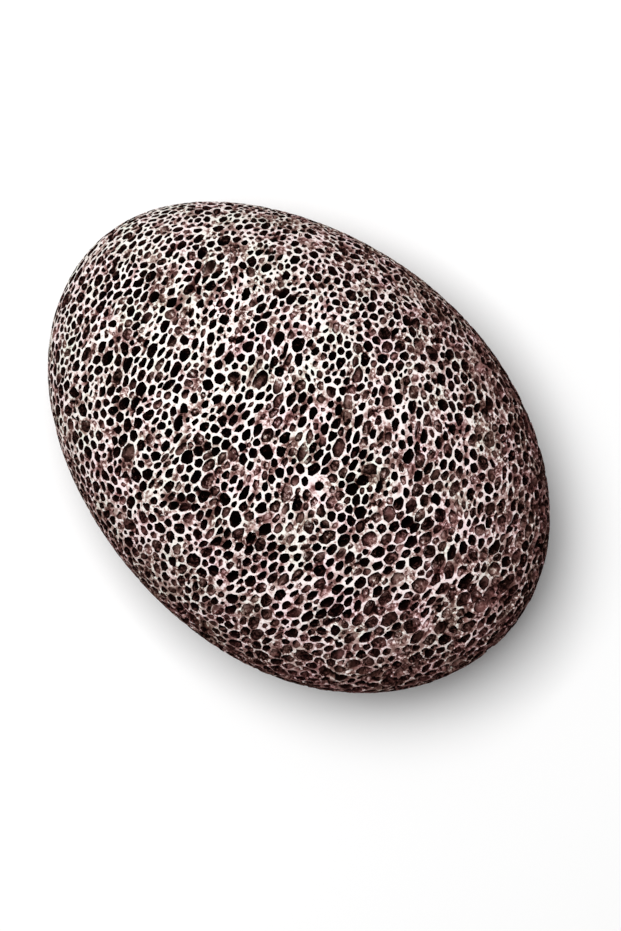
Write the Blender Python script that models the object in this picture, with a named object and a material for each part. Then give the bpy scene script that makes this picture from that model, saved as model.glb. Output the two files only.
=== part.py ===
"""Pumice foot stone: one piece of foamed lava, ground to an egg-shaped pebble with a worn flat underneath.

Units are metres, +Z is up and +X runs along the stone, towards its slightly fuller end. The origin is the
middle of the flat that the stone lies on. The solid is the stone's outer envelope. Its open pores are a
millimetre or two across, far finer than a faceted solid can hold, so the solid has none of them.
"""

import math

import bmesh
import bpy
from mathutils import Matrix, Vector

# The stone's own size.
LENGTH = 0.105
WIDTH = 0.077
HEIGHT = 0.048

# Height of the widest outline above the flat. Above it the stone is a whole half egg. Below it the same
# half egg is cut off by the flat.
WAIST_HEIGHT = 0.0225

# The fuller end: half the width grows by this share from the middle to +X, and shrinks by it towards -X.
FULLNESS = 0.063

# Hand grinding leaves soft lobes round the outline: (lobes, share of the radius, turn in degrees).
OUTLINE_LOBES = ((3, 0.004, 25.0), (5, 0.003, 70.0))

# Facets: about 4 mm round the waist and 2.5 mm up the side, within 0.05 mm of the smooth egg.
SEGMENTS = 80
RINGS = 30
MERGE_DISTANCE = 1e-5

# Faces that meet at less than this are shaded as one surface. The flat's rim turns by 14 degrees or more.
SMOOTH_ANGLE = math.radians(12.0)

STONE_COLOUR = (0.21, 0.165, 0.155, 1.0)
STONE_ROUGHNESS = 0.92


def clear_scene():
    for obj in list(bpy.data.objects):
        bpy.data.objects.remove(obj, do_unlink=True)


def stone_material():
    material = bpy.data.materials.new("pumice")
    material.use_nodes = True
    shader = material.node_tree.nodes["Principled BSDF"]
    shader.inputs["Base Color"].default_value = STONE_COLOUR
    shader.inputs["Roughness"].default_value = STONE_ROUGHNESS
    shader.inputs["Metallic"].default_value = 0.0
    return material


def spin_ball(bm, lowest):
    """A unit ball turned about Z, cut off level at the lowest latitude and closed there by one flat face."""
    profile = []
    for ring in range(RINGS + 1):
        latitude = lowest + (math.pi / 2 - lowest) * ring / RINGS
        profile.append(bm.verts.new((math.cos(latitude), 0.0, math.sin(latitude))))
    edges = [bm.edges.new(pair) for pair in zip(profile, profile[1:])]
    bmesh.ops.spin(
        bm,
        geom=profile + edges,
        cent=(0.0, 0.0, 0.0),
        axis=(0.0, 0.0, 1.0),
        angle=2 * math.pi,
        steps=SEGMENTS,
        use_merge=True,
    )
    bmesh.ops.remove_doubles(bm, verts=bm.verts, dist=MERGE_DISTANCE)
    rim = [edge for edge in bm.edges if edge.is_boundary]
    bmesh.ops.contextual_create(bm, geom=rim)


def outline_share(angle):
    """The outline's radius at this angle in plan, as a share of the plain egg's."""
    share = 1.0
    for lobes, depth, turn in OUTLINE_LOBES:
        share += depth * math.cos(lobes * angle - math.radians(turn))
    return share


def egg_point(unit, rise):
    """Where a point of the unit ball lies on the stone, before its box is brought to the exact size."""
    grow = 1.0
    if unit.xy.length > MERGE_DISTANCE:
        grow = outline_share(math.atan2(unit.y, unit.x))
    x = LENGTH / 2 * unit.x * grow
    y = WIDTH / 2 * unit.y * grow * (1.0 + FULLNESS * unit.x)
    return Vector((x, y, WAIST_HEIGHT + rise * unit.z))


def fit_to_size(bm):
    """Brings the box to exactly LENGTH x WIDTH x HEIGHT, centred in plan, with the flat at height 0."""
    low = Vector([min(v.co[k] for v in bm.verts) for k in range(3)])
    high = Vector([max(v.co[k] for v in bm.verts) for k in range(3)])
    middle = Vector(((low.x + high.x) / 2, (low.y + high.y) / 2, low.z))
    bmesh.ops.translate(bm, verts=bm.verts, vec=-middle)
    size = high - low
    grow = Matrix.Diagonal((LENGTH / size.x, WIDTH / size.y, HEIGHT / size.z, 1.0))
    bmesh.ops.transform(bm, matrix=grow, verts=bm.verts)


def build_stone():
    # From the waist to the top, and from the waist to where the egg would end if it weren't cut off.
    rise = HEIGHT - WAIST_HEIGHT
    bm = bmesh.new()
    spin_ball(bm, -math.asin(WAIST_HEIGHT / rise))
    for vert in bm.verts:
        vert.co = egg_point(vert.co, rise)
    fit_to_size(bm)
    bmesh.ops.recalc_face_normals(bm, faces=bm.faces)

    mesh = bpy.data.meshes.new("pumice_stone")
    bm.to_mesh(mesh)
    bm.free()
    mesh.shade_smooth()
    mesh.set_sharp_from_angle(angle=SMOOTH_ANGLE)
    mesh.materials.append(stone_material())
    stone = bpy.data.objects.new("pumice_stone", mesh)
    bpy.context.scene.collection.objects.link(stone)
    return stone


clear_scene()
build_stone()
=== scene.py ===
import math
import random

import bmesh
import bpy
import numpy as np
from mathutils import Matrix, Vector, noise
from mathutils.bvhtree import BVHTree
from mathutils.kdtree import KDTree


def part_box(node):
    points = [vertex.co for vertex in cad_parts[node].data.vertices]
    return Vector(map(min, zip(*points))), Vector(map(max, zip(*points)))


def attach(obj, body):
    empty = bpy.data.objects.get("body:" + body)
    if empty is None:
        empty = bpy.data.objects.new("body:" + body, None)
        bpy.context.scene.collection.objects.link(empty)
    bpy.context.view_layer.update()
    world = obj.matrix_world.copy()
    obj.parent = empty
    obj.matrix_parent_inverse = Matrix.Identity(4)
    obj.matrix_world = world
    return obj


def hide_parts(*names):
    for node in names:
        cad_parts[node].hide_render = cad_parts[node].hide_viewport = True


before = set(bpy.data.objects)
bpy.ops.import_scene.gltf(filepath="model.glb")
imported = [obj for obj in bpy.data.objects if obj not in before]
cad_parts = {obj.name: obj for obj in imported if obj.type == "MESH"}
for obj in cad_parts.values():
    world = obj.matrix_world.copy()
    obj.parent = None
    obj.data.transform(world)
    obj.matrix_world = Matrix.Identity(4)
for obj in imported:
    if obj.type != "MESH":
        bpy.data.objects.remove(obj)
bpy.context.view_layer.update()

stoneLow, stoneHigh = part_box("pumice_stone")
stoneMiddle = (stoneLow + stoneHigh) / 2
stoneHalf = (stoneHigh - stoneLow) / 2

# the stone: lengths in metres, and painted shade, darker with depth, from 0, the top of a wall, to 1, the
# foot of a deep pit
pumice = {
    # the foam: where its pores lie and how much room each one takes
    "foamSeed": 7,             # another number grows another stone of the same kind
    # half the pitch of a pore, smallest and largest, then the tries and the most pores that they may give
    "pores": [
        (0.00072, 0.00091, 60000, 2850),
        (0.00040, 0.00056, 70000, 1650),
        (0.00068, 0.00076, 90000, 850),
    ],
    "closeness": 0.95,         # how near two middles may come, as a share of their half pitches together
    "flow": 105.5,             # degrees from +X, in plan, of the way the lava flowed
    "flowTurn": 12.0,          # growth of that towards the +Y side
    "stretch": 1.38,           # pores are this much longer that way
    "stretchMore": 0.11,       # growth of that towards the +X end
    "streaks": 3.0,            # and patches of like pores and walls this much
    "coarser": (0.14, -0.09, -0.12),  # growth of the pores towards the +X, +Y and +Z end
    "relax": 2,                # passes that draw the walls' corners to rest
    "relaxBy": 0.5,            # how far each pass draws them
    "warp": (0.00012, 0.0011),  # how far the corners stray, and from one stray to the next
    "joined": 0.018,           # share of the walls across the grain that burst while the lava was soft
    "joinedRoom": 4.6e-6,      # square metres that the two pores may take together
    "joinedAcross": 0.35,      # a wall lies across the grain below this cosine

    # the pores' mouths, and the walls between them
    "pitSeed": 23,
    "cornersCut": 0.66,        # share of the corners that are rounded off
    "cornerCut": 24,           # percent of a wall's length taken off at each of them
    "wall": (0.000095, 0.00034),  # half the thickness of a wall at the top, thinnest and thickest
    "thinWalls": 1.6,          # above 1, most walls are nearer to the thinnest
    "thickPatches": (0.6, 0.0026),  # how much thicker the walls are in some patches, and the patches' pitch
    "thicker": -0.05,          # growth of the thickness towards the +X end
    "uneven": (0.5, 1.7),      # share of the thickness, along one wall
    "narrowest": 0.50,         # a mouth keeps at least this share of its room
    "closed": 0.02,            # share of the pores that have almost closed
    "closedTo": 0.52,          # and the share of its room that such a mouth keeps
    "rounding": 0.22,          # how far a mouth's outline is smoothed
    "ragged": (-0.17, 0.102),  # how far each point of it strays, as a share of the mouth's radius
    "paintedWallShade": 0.68,           # painted shade of a pit's wall at the mouth, dark from its top edge
    "wallOverFloor": 1.15,     # and the most of it, over the painted shade of the floor

    # the kinds of pit. share: of the pores. depth: over the mouth's width. floor: its width, over the
    # mouth's. slope: how far the floor slopes. shade: painted shade of the floor. stray: of that shade.
    # middle: shade of the floor's middle, over the rest. crumble: how far the walls round it have crumbled
    "pits": [
        {"share": 0.34, "depth": (0.90, 1.35), "floor": (0.66, 0.90), "slope": (0.00, 0.30),
         "shade": (0.75, 1.00), "stray": (-0.05, 0.20), "middle": 1.0, "crumble": 0.0},
        {"share": 0.37, "depth": (0.50, 0.85), "floor": (0.60, 0.85), "slope": (0.20, 0.80),
         "shade": (0.31, 0.58), "stray": (-0.05, 0.25), "middle": 0.7, "crumble": 0.2},
        {"share": 0.29, "depth": (0.16, 0.40), "floor": (0.60, 0.90), "slope": (0.20, 0.80),
         "shade": (0.09, 0.38), "stray": (-0.12, 0.30), "middle": 0.9, "crumble": 1.0},
    ],
    "clusters": (0.42, 0.0020),  # how much pits of one kind keep together, and the clusters' pitch
    "clusterKinds": (0.5, 1.6),  # the clusters' mean kind, from 0, deep, to 1, shallow, and its swing
    "shallower": 0.18,         # growth of the share of shallow pits towards the +X end
    # mouths of the first radius are mostly deep, and others less so: the shares hold at the second
    # distance from it, and shift by the third for each metre
    "deepest": (0.00100, 0.00048, 650),
    "wide": 0.00078,           # a mouth with a larger radius is never of the last kind
    "floorCorners": [          # the most corners of a floor, by the radius that its mouth is under
        (0.00035, 4),
        (0.00100, 6),
        (1, 8),
    ],
    "slopeLimits": (0.12, 1.3),  # of the depth that a sloping floor reaches
    "slopeShade": 0.75,        # how far the floor's painted shade follows the slope, darker on its deeper side
    "astray": 0.50,            # how far the hump in a floor may lie off its middle
    "lean": 0.22,              # how far a pit's floor wanders sideways, as a share of the mouth's radius
    "rough": 0.12,             # unevenness of a pit's depth
    "hump": (0.05, 0.45),      # how far the middle of a floor rises, as a share of its depth

    # how the tops of the walls are worn and broken away, and the painted shade of the lowered places
    "worn": 0.00030,           # depth of the lowest places
    "wornMean": 0.32,          # share of that on the whole
    "wornPatches": [(1.0, 0.0013), (0.45, 0.0004)],  # how much it swings, and the patches' pitch
    "wornAlong": 0.10,         # growth of the wear and its painted shade towards the +X end, away from the lamp
    "wornShade": 0.42,         # painted shade of the lowest places
    "specks": 0.07,            # share of the places where walls meet that hold a tiny pit
    # depth and painted shade of a tiny pit
    "speckDepth": (0.00010, 0.00040),
    "speckShade": (0.20, 0.70),
    "crumble": 0.00016,        # how far the walls round a shallow pit have fallen away, at most
    # painted shade of the fallen walls, at most
    "crumbleShade": 0.29,
    "broken": 0.05,            # share of the walls that have broken down between two pits
    "brokenAlong": 0.3,        # growth of that towards the +X end, over the share itself
    # depth and painted shade of a broken wall
    "brokenDepth": (0.00030, 0.00080),
    "brokenShade": (0.30, 0.85),
    "flankShade": 0.36,             # painted shade that the darkest flank takes on
    "flankShadeUp": (1.00, -1.1),   # share of that at half height, and its growth from there to the top
    "flankShadeSide": (0.85, 0.80, -0.05),  # share of it in the middle, and its growth towards +X and +Y
    "flankShadePatches": (0.8, 0.0016),  # how much it swings, and the patches' pitch
    "sharpFrom": 35,           # degrees between two faces from which their edge is drawn sharp
}

hairline = 1e-6       # an inset too thin to see, whose faces are moved into place afterwards
settlingRounds = 6    # that find where a spot lies once the pores are drawn out
wallCorners = 4       # corners of a wall's top that lie on the two mouths beside it
floorMapShare = 0.55  # how wide a pit's floor is on the map, over its mouth
mapMiddle = 0.5
mapReach = 0.485      # share of the map's width on each side of its middle, but for a narrow border


def alongStone(spot):
    # -1 at the -X end, 1 at the +X end
    return (spot[0] - stoneMiddle.x) / stoneHalf.x


def acrossStone(spot):
    return (spot[1] - stoneMiddle.y) / stoneHalf.y


def clamped(value, lowest=0, highest=1):
    return min(highest, max(lowest, value))


def randomSpots(skin, count, dice):
    # spread evenly by area over the skin's triangles
    skin.calc_loop_triangles()
    places = np.empty(len(skin.vertices) * 3, np.float32)
    skin.vertices.foreach_get("co", places)
    corners = np.empty(len(skin.loop_triangles) * 3, np.int32)
    skin.loop_triangles.foreach_get("vertices", corners)
    a, b, c = (places.reshape(-1, 3)[corners.reshape(-1, 3)[:, k]] for k in range(3))
    area = np.linalg.norm(np.cross(b - a, c - a), axis=1).astype(float)
    chosen = dice.choice(len(area), count, p=area / area.sum())
    along, up = dice.random((2, count, 1))
    outside = along + up > 1
    along, up = np.where(outside, 1 - along, along), np.where(outside, 1 - up, up)
    return a[chosen] + along * (b - a)[chosen] + up * (c - a)[chosen]


def flowAt(spot):
    turn = math.radians(pumice["flow"] + pumice["flowTurn"] * acrossStone(spot))
    return Vector((math.cos(turn), math.sin(turn), 0))


def shortening(spot):
    # from the spot to where it would lie if the pores were as long as they are wide
    stretch = pumice["stretch"] + pumice["stretchMore"] * alongStone(spot)
    flow = flowAt(spot)
    return flow * flow.dot(spot) * (1 / stretch - 1)


def streakNoise(spot, pitch):
    # noise drawn out along the flow
    flow = flowAt(spot)
    return noise.noise((spot + flow * flow.dot(spot) * (1 / pumice["streaks"] - 1)) / pitch)


def squeezed(spot):
    return Vector(spot) + shortening(spot)


def unsqueezed(spot):
    # the shortening depends on the place that is sought, so a few rounds settle it
    place = spot
    for settling in range(settlingRounds):
        place = spot - shortening(place)
    return place


def crowdOut(tree, free, halves, spot, half):
    # no other pore's middle may come too near to this one
    closeness = pumice["closeness"]
    for place, index, gap in tree.find_range(squeezed(spot), closeness * (half + halves.max())):
        if gap < closeness * (half + halves[index]):
            free[index] = False


def scatterPores(skin):
    # big pores first, so that small ones fill the room between them
    dice = np.random.default_rng(pumice["foamSeed"])
    pores = []
    for smallest, largest, tries, most in pumice["pores"]:
        spots = randomSpots(skin, tries, dice)
        share = (spots - np.array(stoneMiddle)) / np.array(stoneHalf)
        halves = smallest + (largest - smallest) * dice.random(tries)
        halves *= 1 + share @ np.array(pumice["coarser"])
        tree = KDTree(tries)
        for index, spot in enumerate(spots):
            tree.insert(squeezed(spot), index)
        tree.balance()
        free = np.ones(tries, bool)
        for spot, half in pores:
            crowdOut(tree, free, halves, spot, half)
        for index in range(tries):
            if free[index] and most:
                most -= 1
                pores.append((Vector(spots[index]), float(halves[index])))
                crowdOut(tree, free, halves, *pores[-1])
    return pores


def ballSpot(spot):
    # the same spot on a ball, where every pore is on the outside of the hull
    away = spot - stoneMiddle
    return Vector((away.x / stoneHalf.x, away.y / stoneHalf.y, away.z / stoneHalf.z)).normalized()


def growFoam(pores):
    # a net of triangles from pore to pore, then the walls between them: one corner in each triangle
    bm = bmesh.new()
    room = bm.verts.layers.float.new("room")
    for spot, half in pores:
        bm.verts.new(ballSpot(spot))[room] = half
    bmesh.ops.convex_hull(bm, input=bm.verts)
    for vert, (spot, half) in zip(bm.verts, pores):
        vert.co = squeezed(spot)
    bmesh.ops.beautify_fill(bm, faces=bm.faces, edges=bm.edges, method="ANGLE")
    seeds, strings = bm.verts[:], bm.edges[:]
    for middle in bmesh.ops.poke(bm, faces=bm.faces)["verts"]:
        around = [edge.other_vert(middle) for edge in middle.link_edges]
        pull = [1 / vert[room] for vert in around]
        middle.co = sum((vert.co * weight for vert, weight in zip(around, pull)), Vector()) / sum(pull)
    bmesh.ops.rotate_edges(bm, edges=strings, use_ccw=False)
    bmesh.ops.dissolve_verts(bm, verts=seeds)
    for resting in range(pumice["relax"]):
        bmesh.ops.smooth_vert(
            bm, verts=bm.verts, factor=pumice["relaxBy"],
            use_axis_x=True, use_axis_y=True, use_axis_z=True)
    for vert in bm.verts:
        vert.co = unsqueezed(vert.co)
    return bm


def warpFoam(bm, skin):
    # the corners stray a little, then lie on the stone's skin. Unseeded, the stray would follow the clock
    noise.seed_set(pumice["foamSeed"])
    far, pitch = pumice["warp"]
    for vert in bm.verts:
        stray = noise.noise_vector(vert.co / pitch) * far
        vert.co = skin.find_nearest(vert.co + stray)[0]


def joinPores(bm, dice):
    # two small pores run together where the wall between them has burst
    chosen = []
    joined = set()
    for wall in bm.edges:
        one, other = (vert.co for vert in wall.verts)
        across = abs((one - other).normalized().dot(flowAt(one))) < pumice["joinedAcross"]
        small = sum(face.calc_area() for face in wall.link_faces) < pumice["joinedRoom"]
        burst = across and small and dice.random() < pumice["joined"]
        if burst and not joined.intersection(wall.link_faces):
            chosen.append(wall)
            joined.update(wall.link_faces)
    bmesh.ops.dissolve_edges(bm, edges=chosen, use_verts=True)


def meanRadius(face, middle):
    return sum((vert.co - middle).length for vert in face.verts) / len(face.verts)


def chooseKind(middle, radius, dice):
    # pits of one kind keep together in clusters
    strength, pitch = pumice["clusters"]
    mean, swing = pumice["clusterKinds"]
    pick = dice.random() * (1 - strength) + (mean + swing * streakNoise(middle, pitch)) * strength
    pick += pumice["shallower"] * alongStone(middle)
    deepest, near, growth = pumice["deepest"]
    pick += (abs(radius - deepest) - near) * growth
    pick = clamped(pick)
    for kind in pumice["pits"]:
        if pick < kind["share"]:
            break
        pick -= kind["share"]
    if radius > pumice["wide"] and kind is pumice["pits"][-1]:
        kind = pumice["pits"][-2]
    return kind


def wallAt(middle, dice):
    # half the thickness of the walls round a pore
    thinnest, thickest = pumice["wall"]
    strength, pitch = pumice["thickPatches"]
    wall = thinnest + (thickest - thinnest) * dice.random() ** pumice["thinWalls"]
    wall *= 1 + pumice["thicker"] * alongStone(middle)
    return wall * (1 + strength * streakNoise(middle, pitch))


def drawMouth(mouth, middle, dice):
    # in from the cell's outline by the wall, smoothed, then ragged
    wall = wallAt(middle, dice)
    closed = dice.random() < pumice["closed"]
    for vert in mouth.verts:
        away = vert.co - middle
        thick = wall * dice.uniform(*pumice["uneven"])
        kept = pumice["closedTo"] if closed else max(pumice["narrowest"], 1 - thick / away.length)
        vert.co = middle + away * kept
    radius = meanRadius(mouth, middle)
    places = [vert.co.copy() for vert in mouth.verts]
    for index, vert in enumerate(mouth.verts):
        beside = (places[index - 1] + places[(index + 1) % len(places)]) / 2
        vert.co = places[index].lerp(beside, pumice["rounding"])
    grow = radius / meanRadius(mouth, middle)
    for vert in mouth.verts:
        vert.co = middle + (vert.co - middle) * grow * (1 + dice.uniform(*pumice["ragged"]))
    return radius


def openMouths(bm, dice):
    # rounds each cell, draws its mouth inside it, and leaves the tops of the walls between the mouths
    rounded = [vert for vert in bm.verts if dice.random() < pumice["cornersCut"]]
    corners = set(bmesh.ops.bevel(
        bm, geom=rounded, offset=pumice["cornerCut"], offset_type="PERCENT", segments=1, profile=0.5,
        affect="VERTICES", material=-1)["faces"])
    mouths = [face for face in bm.faces if face not in corners]
    bmesh.ops.inset_individual(bm, faces=mouths, thickness=hairline, use_even_offset=False)
    onMouths = {vert for mouth in mouths for vert in mouth.verts}
    kinds = {}
    for mouth in mouths:
        middle = mouth.calc_center_median()
        radius = drawMouth(mouth, middle, dice)
        kinds[mouth] = chooseKind(middle, radius, dice)
    crests = [edge for edge in bm.edges if not onMouths.intersection(edge.verts)]
    bmesh.ops.dissolve_edges(bm, edges=crests, use_verts=True)
    return kinds


def wornAt(spot):
    low = pumice["wornMean"] + pumice["wornAlong"] * alongStone(spot)
    low += sum(swing * streakNoise(spot, pitch) for swing, pitch in pumice["wornPatches"])
    return clamped(low) ** 2


def paintedFlankShadeAt(spot):
    # painted shade: the flanks are browner and darker than the top, and the fuller end, away from the lamp,
    # more than the other
    level, up = pumice["flankShadeUp"]
    middle, along, across = pumice["flankShadeSide"]
    swing, pitch = pumice["flankShadePatches"]
    low = level + up * (spot.z / stoneHalf.z - 1)
    side = middle + along * alongStone(spot) + across * acrossStone(spot)
    return pumice["flankShade"] * clamped(low) ** 2 * clamped(side) * (1 + swing * noise.noise(spot / pitch))


def wearWalls(bm, mouths, skin, dice):
    # lowers the tops of the walls: worn stretches, tiny pits where walls meet, and broken walls, and paints
    # shade on the lowered places and on the flanks
    shade = bm.verts.layers.float.new("shade")
    mapSpot = bm.verts.layers.float_vector.new("mapSpot")
    crumbled = {}
    for mouth, kind in mouths.items():
        crumbled.update((vert, kind["crumble"] * dice.random()) for vert in mouth.verts)
    depths = {}
    for vert in bm.verts:
        vert[mapSpot] = vert.co
        low = wornAt(vert.co)
        around = [crumbled.get(edge.other_vert(vert), 1) for edge in vert.link_edges]
        crumble = crumbled.get(vert, min(around))
        depths[vert] = pumice["worn"] * low + pumice["crumble"] * crumble
        # painted shade, darker where the wall's top is lower, with the painted shade of the flanks
        vert[shade] = pumice["wornShade"] * low + pumice["crumbleShade"] * crumble + paintedFlankShadeAt(vert.co)
        # a tiny pit where walls meet, darkened with painted shade
        if vert not in crumbled and dice.random() < pumice["specks"]:
            depths[vert] += dice.uniform(*pumice["speckDepth"])
            vert[shade] = dice.uniform(*pumice["speckShade"])
    # from one end to the other, because the faces' own order differs from run to run
    middles = {wall: wall.calc_center_median() for wall in bm.faces}
    for wall, middle in sorted(middles.items(), key=lambda item: item[1][:]):
        # the top of a wall between two pits has corners on their mouths, and others where walls meet
        beside = [vert for vert in wall.verts if vert in crumbled]
        share = pumice["broken"] * (1 + pumice["brokenAlong"] * alongStone(middle))
        between = len(beside) == wallCorners < len(wall.verts)
        if between and dice.random() < share:
            # a broken wall sinks and takes on painted shade
            sunk = dice.uniform(*pumice["brokenDepth"])
            dark = dice.uniform(*pumice["brokenShade"])
            for vert in beside:
                depths[vert] = max(depths[vert], sunk)
                vert[shade] = max(vert[shade], dark)
    for vert, deep in depths.items():
        vert.co -= skin.find_nearest(vert.co)[1] * deep


def fewerCorners(bm, floors):
    # a floor needs fewer corners than its mouth: the shortest sides are drawn together
    short = []
    for floor in floors:
        radius = meanRadius(floor, floor.calc_center_median())
        spare = len(floor.edges) - next(most for under, most in pumice["floorCorners"] if radius < under)
        joined = set()
        for edge in sorted(floor.edges, key=lambda edge: edge.calc_length()):
            if spare > 0 and not joined.intersection(edge.verts):
                short.append(edge)
                joined.update(edge.verts)
                spare -= 1
    bmesh.ops.collapse(bm, edges=short)


def sidewaysTo(inward, dice):
    return inward.cross(Vector((dice.uniform(-1, 1), dice.uniform(-1, 1), dice.uniform(-1, 1))))


def digPits(bm, mouths, skin, dice):
    # sinks a floor from each mouth, then raises a hump in it, and paints shade on the floor, darker where
    # it is deeper
    shade = bm.verts.layers.float["shade"]
    mapSpot = bm.verts.layers.float_vector["mapSpot"]
    floors = list(mouths)
    bmesh.ops.inset_individual(bm, faces=floors, thickness=hairline, use_even_offset=False)
    fewerCorners(bm, floors)
    humps = {}
    for floor in floors:
        kind = mouths[floor]
        middle = floor.calc_center_median()
        inward = -skin.find_nearest(middle)[1]
        radius = meanRadius(floor, middle)
        down = 2 * radius * dice.uniform(*kind["depth"])
        scale = dice.uniform(*kind["floor"])
        sideways = sidewaysTo(inward, dice) * pumice["lean"] * radius
        dark = dice.uniform(*kind["shade"])
        lift = inward * -dice.uniform(*pumice["hump"]) * down
        lift += sideways.normalized() * radius * scale * pumice["astray"] * dice.uniform(-1, 1)
        humpShade = max(0, dark * kind["middle"] + kind["crumble"] * dice.uniform(*kind["stray"]))
        downhill = sidewaysTo(inward, dice).normalized()
        downhill *= dice.uniform(*kind["slope"]) / radius
        for vert in floor.verts:
            slope = clamped(1 + downhill.dot(vert.co - middle), *pumice["slopeLimits"])
            rough = down * slope * (1 + pumice["rough"] * dice.uniform(-1, 1))
            # painted shade of the floor: darker on its deeper side
            sloped = 1 - pumice["slopeShade"] + pumice["slopeShade"] * slope
            vert[mapSpot] = middle + (vert.co - middle) * floorMapShare
            vert[shade] = clamped(dark * sloped + dice.uniform(*kind["stray"]))
            vert.co = middle + (vert.co - middle) * scale + sideways + inward * rough
            humps[vert] = lift, middle, humpShade
    inside = set(humps)
    for vert in bmesh.ops.poke(bm, faces=floors)["verts"]:
        lift, spot, humpShade = humps[vert.link_edges[0].other_vert(vert)]
        vert.co += lift
        vert[mapSpot] = spot
        vert[shade] = humpShade
        inside.add(vert)
    return inside


def paintShades(bm, inside):
    # the painted shade of a wall's side begins at the mouth's edge, so it is kept for each face's corners
    shade = bm.verts.layers.float["shade"]
    corner = bm.loops.layers.float.new("paintedPitShade")
    for face in bm.faces:
        below = [vert[shade] for vert in face.verts if vert in inside]
        top = min(pumice["paintedWallShade"], pumice["wallOverFloor"] * max(below)) if below else 0
        for loop in face.loops:
            dark = loop.vert[shade]
            loop[corner] = dark if loop.vert in inside else max(dark, top)


def unfoldMap(bm):
    # the ball is folded out to a square, with the underside's middle at the four corners
    mapSpot = bm.verts.layers.float_vector["mapSpot"]
    unfolded = bm.loops.layers.uv.new("OFBake")
    for face in bm.faces:
        spots = [ballSpot(loop.vert[mapSpot]) for loop in face.loops]
        middle = sum(spots, Vector())
        side, far = math.copysign(1, middle.x), math.copysign(1, middle.y)
        for loop, spot in zip(face.loops, spots):
            if spot.z >= 0:
                reach = abs(spot.x) + abs(spot.y) + spot.z
                across, up = spot.x / reach, spot.y / reach
            else:
                reach = side * spot.x + far * spot.y - spot.z
                across, up = side * (1 - far * spot.y / reach), far * (1 - side * spot.x / reach)
            loop[unfolded].uv = (mapMiddle + mapReach * across, mapMiddle + mapReach * up)


def dropLayers(bm):
    for layers, name in ((bm.verts.layers.float, "shade"), (bm.verts.layers.float, "room"),
                         (bm.verts.layers.float_vector, "mapSpot")):
        layers.remove(layers[name])


def buildStone():
    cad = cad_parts["pumice_stone"]
    skin = BVHTree.FromPolygons([vert.co for vert in cad.data.vertices],
                                [face.vertices for face in cad.data.polygons])
    dice = random.Random(pumice["pitSeed"])
    pores = scatterPores(cad.data)
    print("pores scattered:", len(pores))
    bm = growFoam(pores)
    warpFoam(bm, skin)
    joinPores(bm, dice)
    print("foam grown:", len(bm.faces), "cells")
    mouths = openMouths(bm, dice)
    wearWalls(bm, mouths, skin, dice)
    print("mouths opened:", len(bm.faces), "faces")
    inside = digPits(bm, mouths, skin, dice)
    bmesh.ops.recalc_face_normals(bm, faces=bm.faces)
    print("pits dug:", sum(len(face.verts) - 2 for face in bm.faces), "triangles")
    paintShades(bm, inside)
    unfoldMap(bm)
    dropLayers(bm)
    mesh = bpy.data.meshes.new("porousStone")
    bm.to_mesh(mesh)
    bm.free()
    mesh.shade_smooth()
    mesh.set_sharp_from_angle(angle=math.radians(pumice["sharpFrom"]))
    stone = bpy.data.objects.new("porousStone", mesh)
    bpy.context.scene.collection.objects.link(stone)
    return stone


# the stone's finish, with its colour by painted shade, pale on the tops of the walls and near black in deep
# pits
finish = {
    "paintedShadeColours": [
        (0.00, (0.92, 0.885, 0.865, 1)),
        (0.07, (0.815, 0.755, 0.730, 1)),
        (0.15, (0.505, 0.385, 0.360, 1)),
        (0.25, (0.270, 0.164, 0.148, 1)),
        (0.38, (0.132, 0.064, 0.056, 1)),
        (0.55, (0.045, 0.0175, 0.0145, 1)),
        (0.72, (0.007, 0.0023, 0.0020, 1)),
        (1.00, (0.0010, 0.0003, 0.0003, 1)),
    ],
    "roughness": 0.93,
    "gloss": 0.02,             # dry lava throws back almost no sheen
    "grain": (1700, 2),        # scale and detail of the noise
    "grainShade": 0.60,        # how far the grain lightens and darkens the tops of the walls
    "grainDeeper": 1.6,        # growth of that with the shade, up to the shade where it stops
    "grainDeepest": 0.40,
    "patch": (420, 2),         # smooth and rough patches
    "patchEdges": (0.38, 0.62),
    "patchGrain": (0.3, 1.7),  # how strong the grain is in the smoothest and the roughest of them
    "tint": (180, 3),
    "tintEdges": (0.33, 0.67),
    "tints": ((1.09, 0.900, 0.970, 1), (0.940, 1.012, 0.930, 1)),  # a pinker and a yellower one
    "tintAlong": -0.8,         # growth of the yellower one's share, by metre towards +X
    "noiseRoughness": 0.6,
    "noiseMiddle": 0.5,        # the noise swings about this
    "bump": 0.35,
    "bumpHeight": 0.00010,
}


def addNode(tree, kind, place, **values):
    node = tree.nodes.new(kind)
    node.location = place
    for name, value in values.items():
        setattr(node, name, value)
    return node


def addMath(tree, operation, place, *terms):
    node = addNode(tree, "ShaderNodeMath", place, operation=operation)
    for socket, term in zip(node.inputs, terms):
        if isinstance(term, (int, float)):
            socket.default_value = term
        else:
            tree.links.new(term, socket)
    return node.outputs[0]


def addNoise(tree, place, spots, scale, detail):
    node = addNode(tree, "ShaderNodeTexNoise", place)
    node.inputs["Scale"].default_value = scale
    node.inputs["Detail"].default_value = detail
    node.inputs["Roughness"].default_value = finish["noiseRoughness"]
    tree.links.new(spots, node.inputs["Vector"])
    return node.outputs["Fac"]


def grainStrength(tree, spots):
    # the grain is fainter in some patches than in others
    node = addNode(tree, "ShaderNodeMapRange", (-1100, -300))
    node.inputs["From Min"].default_value, node.inputs["From Max"].default_value = finish["patchEdges"]
    node.inputs["To Min"].default_value, node.inputs["To Max"].default_value = finish["patchGrain"]
    tree.links.new(addNoise(tree, (-1300, -300), spots, *finish["patch"]), node.inputs["Value"])
    return node.outputs["Result"]


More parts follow.
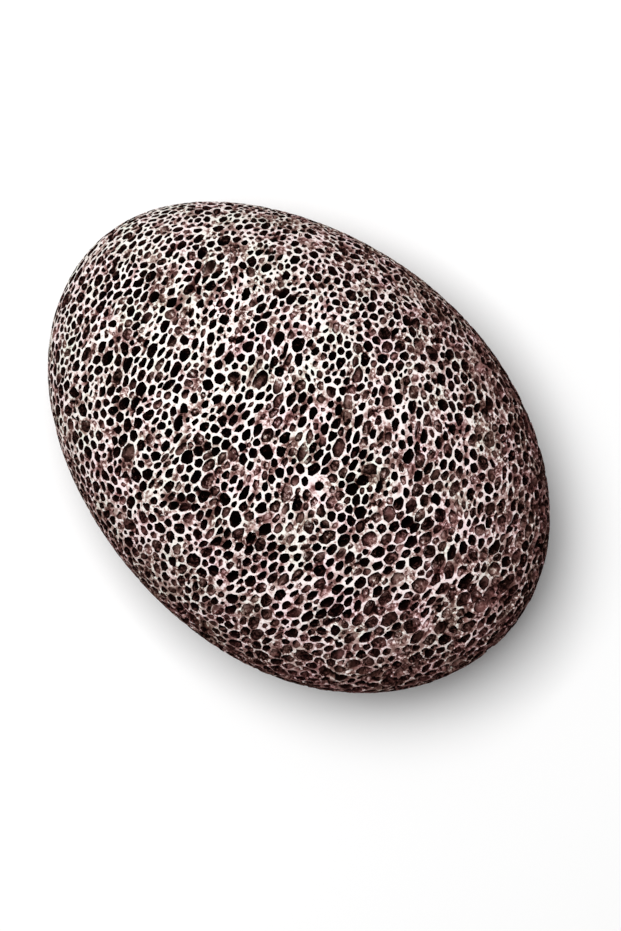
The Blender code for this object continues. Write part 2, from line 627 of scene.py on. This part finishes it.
def addTint(tree, spots, inside):
    # pinker and yellower patches, plainest on the walls, and yellower towards one end
    hue = addNoise(tree, (-1100, 500), spots, *finish["tint"])
    hue = addMath(tree, "SUBTRACT", (-900, 500), hue, finish["noiseMiddle"])
    hue = addMath(tree, "MULTIPLY_ADD", (-700, 500), hue, inside, finish["noiseMiddle"])
    split = addNode(tree, "ShaderNodeSeparateXYZ", (-900, 700))
    tree.links.new(spots, split.inputs["Vector"])
    hue = addMath(tree, "MULTIPLY_ADD", (-600, 600), split.outputs["X"], finish["tintAlong"], hue)
    tint = addNode(tree, "ShaderNodeValToRGB", (-500, 400))
    for stop, edge, colour in zip(tint.color_ramp.elements, finish["tintEdges"], finish["tints"]):
        stop.position, stop.color = edge, colour
    tree.links.new(hue, tint.inputs["Fac"])
    return tint.outputs["Color"]


def pumiceMaterial():
    material = bpy.data.materials.new("pumice")
    material.use_nodes = True
    tree = material.node_tree
    shader = tree.nodes["Principled BSDF"]
    shader.inputs["Roughness"].default_value = finish["roughness"]
    shader.inputs["Specular IOR Level"].default_value = finish["gloss"]
    spots = addNode(tree, "ShaderNodeTexCoord", (-1500, -200)).outputs["Object"]
    shade = addNode(tree, "ShaderNodeAttribute", (-1100, 200), attribute_name="paintedPitShade").outputs["Fac"]

    grain = addNoise(tree, (-1300, 0), spots, *finish["grain"])
    inside = addMath(tree, "MINIMUM", (-900, 300), shade, finish["grainDeepest"])
    inside = addMath(tree, "MULTIPLY_ADD", (-700, 300), inside, finish["grainDeeper"], finish["grainShade"])
    swing = addMath(tree, "SUBTRACT", (-1100, 0), grain, finish["noiseMiddle"])
    swing = addMath(tree, "MULTIPLY", (-900, 0), swing, grainStrength(tree, spots))
    swing = addMath(tree, "MULTIPLY", (-700, 0), swing, inside)
    shade = addMath(tree, "ADD", (-700, 100), shade, swing)

    # colour by painted shade, from the pale tops of the walls to the black feet of the pits
    ramp = addNode(tree, "ShaderNodeValToRGB", (-500, 100))
    stops = ramp.color_ramp.elements
    stops[0].color, stops[1].color = finish["paintedShadeColours"][0][1], finish["paintedShadeColours"][-1][1]
    for place, colour in finish["paintedShadeColours"][1:-1]:
        stops.new(place).color = colour
    tree.links.new(shade, ramp.inputs["Fac"])

    tinted = addNode(tree, "ShaderNodeVectorMath", (-200, 200), operation="MULTIPLY")
    tree.links.new(ramp.outputs["Color"], tinted.inputs[0])
    tree.links.new(addTint(tree, spots, inside), tinted.inputs[1])
    tree.links.new(tinted.outputs["Vector"], shader.inputs["Base Color"])

    bump = addNode(tree, "ShaderNodeBump", (-300, -200))
    bump.inputs["Strength"].default_value = finish["bump"]
    bump.inputs["Distance"].default_value = finish["bumpHeight"]
    tree.links.new(grain, bump.inputs["Height"])
    tree.links.new(bump.outputs["Normal"], shader.inputs["Normal"])
    return material


stone = buildStone()
stone.data.materials.append(pumiceMaterial())
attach(stone, "root")
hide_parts("pumice_stone")
print("stone finished")


# the studio: a pale floor, one big soft lamp above it and a dim room
studio = {
    "turn": 43.0,              # degrees that the stone's length slopes down across the picture
    "distance": 0.60,          # from the camera to the stone's waist
    "waist": 0.0225,
    "viewHeight": 0.1722,      # metres of the waist's level that the picture is high
    "stoneLeft": 0.0027,       # metres that the stone lies left of the picture's middle, and above it
    "stoneUp": 0.0039,
    "nearest": 0.01,           # nothing nearer to the camera is drawn
    "lampPower": 5.5,
    "lampSize": 0.40,
    "lampAway": 0.75,
    "lampLean": 15.0,          # degrees from straight above, towards -X
    "lampAim": 0.02,           # height of the spot that it is aimed at
    "room": 0.28,
    "floorSize": 6,
    "floorColour": (0.93, 0.93, 0.93, 1),
    "floorRoughness": 0.8,
}


def makeFloor():
    bpy.ops.mesh.primitive_plane_add(size=studio["floorSize"])
    floor = bpy.context.object
    floor.name = "floor"
    material = bpy.data.materials.new("paleFloor")
    material.use_nodes = True
    shader = material.node_tree.nodes["Principled BSDF"]
    shader.inputs["Base Color"].default_value = studio["floorColour"]
    shader.inputs["Roughness"].default_value = studio["floorRoughness"]
    floor.data.materials.append(material)


def makeLight():
    lean = math.radians(studio["lampLean"])
    lamp = bpy.data.objects.new("softbox", bpy.data.lights.new("softbox", "AREA"))
    lamp.data.energy = studio["lampPower"]
    lamp.data.size = studio["lampSize"]
    lamp.location = Vector((-math.sin(lean), 0, math.cos(lean))) * studio["lampAway"]
    aim = Vector((0, 0, studio["lampAim"])) - lamp.location
    lamp.rotation_euler = aim.to_track_quat("-Z", "Y").to_euler()
    bpy.context.scene.collection.objects.link(lamp)

    room = bpy.data.worlds.new("room")
    room.use_nodes = True
    light = room.node_tree.nodes["Background"]
    light.inputs["Color"].default_value = (1, 1, 1, 1)
    light.inputs["Strength"].default_value = studio["room"]
    bpy.context.scene.world = room
    bpy.context.scene.view_settings.view_transform = "Standard"


def makeCamera():
    camera = bpy.data.objects.new("camera", bpy.data.cameras.new("camera"))
    bpy.context.scene.collection.objects.link(camera)
    turn = math.radians(studio["turn"])
    place = Vector((studio["stoneLeft"], -studio["stoneUp"], studio["waist"] + studio["distance"]))
    camera.location = Matrix.Rotation(turn, 4, "Z") @ place
    camera.rotation_euler = (0, 0, turn)
    camera.data.lens = camera.data.sensor_width * studio["distance"] / studio["viewHeight"]
    camera.data.clip_start = studio["nearest"]
    bpy.context.scene.camera = camera


makeFloor()
makeLight()
makeCamera()
print("studio ready")
